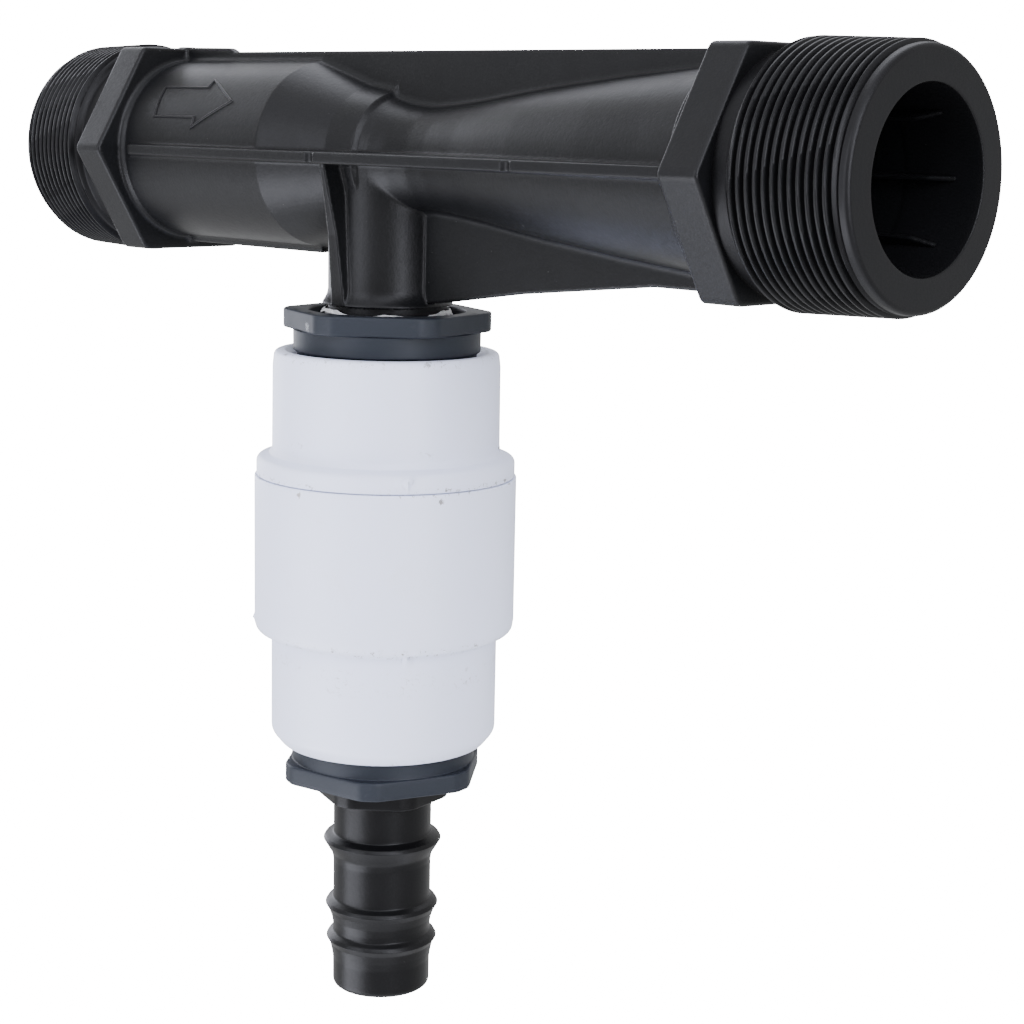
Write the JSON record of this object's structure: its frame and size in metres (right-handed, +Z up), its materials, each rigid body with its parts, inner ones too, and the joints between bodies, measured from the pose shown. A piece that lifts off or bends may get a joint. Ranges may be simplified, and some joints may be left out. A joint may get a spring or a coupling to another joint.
{
  "type": "venturi injector with check valve",
  "caption": "Venturi chemical injector with threaded pipe ends and hexagons, carrying a spring check valve, reducer bushings and a hose barb on its downward suction port.",
  "frame": {"origin": "centre of the inlet end face, on the flow axis", "axes": "+X along the flow from the inlet end to the outlet end, +Z up, with the suction stack hanging down along -Z; +Y completes the right-handed frame"},
  "size_m": [0.2991, 0.071, 0.2607],
  "materials": {
    "black_plastic": "fine matte moulded",
    "white_pvc": "satin",
    "white_plastic_internal": "satin",
    "grey_pvc": "satin moulded",
    "barb_black": "satin moulded",
    "thread_tape": "thin stretched film",
    "seal_rubber": "matte",
    "spring_steel": "drawn wire",
    "screw_steel": "bright"
  },
  "bodies": {
    "injector_assembly": {"injector_body": "black_plastic", "upper_thread_tape": "thread_tape", "upper_bushing": "grey_pvc", "valve_body_upper": "white_pvc", "valve_body_lower": "white_pvc", "guide_spider": "white_plastic_internal", "return_spring": "spring_steel", "lower_bushing": "grey_pvc", "lower_thread_tape": "thread_tape", "hose_barb": "barb_black"},
    "poppet_unit": {"poppet": "white_plastic_internal", "poppet_seal": "seal_rubber", "seal_retainer": "white_plastic_internal", "retainer_screw": "screw_steel"}
  },
  "joints": [
    {"name": "poppet_lift", "type": "slide", "parent": "injector_assembly", "child": "poppet_unit", "axis": [0, 0, 1], "range_m": [0, 0.01], "stiffness_N_per_m": 150, "springref_m": -0.02, "deforming": ["return_spring"]}
  ]
}
